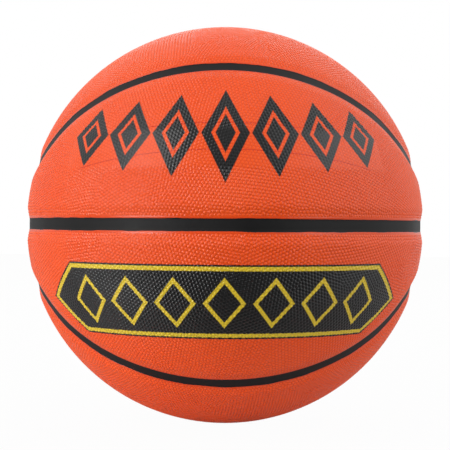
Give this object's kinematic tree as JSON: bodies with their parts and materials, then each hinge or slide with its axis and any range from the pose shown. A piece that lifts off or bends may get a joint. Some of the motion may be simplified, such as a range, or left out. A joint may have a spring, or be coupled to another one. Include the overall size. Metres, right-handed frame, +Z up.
{
  "type": "basketball",
  "caption": "Moulded rubber basketball of youth size: pebbled orange cover panels and black channel strips on a wound carcass with bladder and needle valve.",
  "frame": {"origin": "centre of the ball", "axes": "+Z up through the pole inside the upper loop channel, the equator channel lies in the XY plane, the pictured side faces -Y, +X to the right, the valve is on the back, in the YZ plane"},
  "size_m": [0.2208, 0.2216, 0.2216],
  "materials": {
    "cover": "pebbled, satin",
    "channel": "smooth, matte",
    "carcass": "smooth, matte",
    "winding": "wound nylon thread",
    "bladder": "smooth, satin",
    "patch": "matte",
    "valve": "smooth, satin",
    "plug": "smooth, satin"
  },
  "bodies": {
    "root": {"front_top_panel": "cover", "front_upper_panel": "cover", "front_lower_panel": "cover", "front_bottom_panel": "cover", "back_top_panel": "cover", "back_upper_panel": "cover", "back_lower_panel": "cover", "back_bottom_panel": "cover", "equator_strip": "channel", "top_loop_strip": "channel", "bottom_loop_strip": "channel", "top_meridian_strip": "channel", "bottom_meridian_strip": "channel", "right_upper_link_strip": "channel", "right_lower_link_strip": "channel", "left_upper_link_strip": "channel", "left_lower_link_strip": "channel", "carcass": "carcass", "thread_winding": "winding", "bladder": "bladder", "valve_patch": "patch", "valve_housing": "valve", "valve_plug": "plug"}
  },
  "joints": []
}
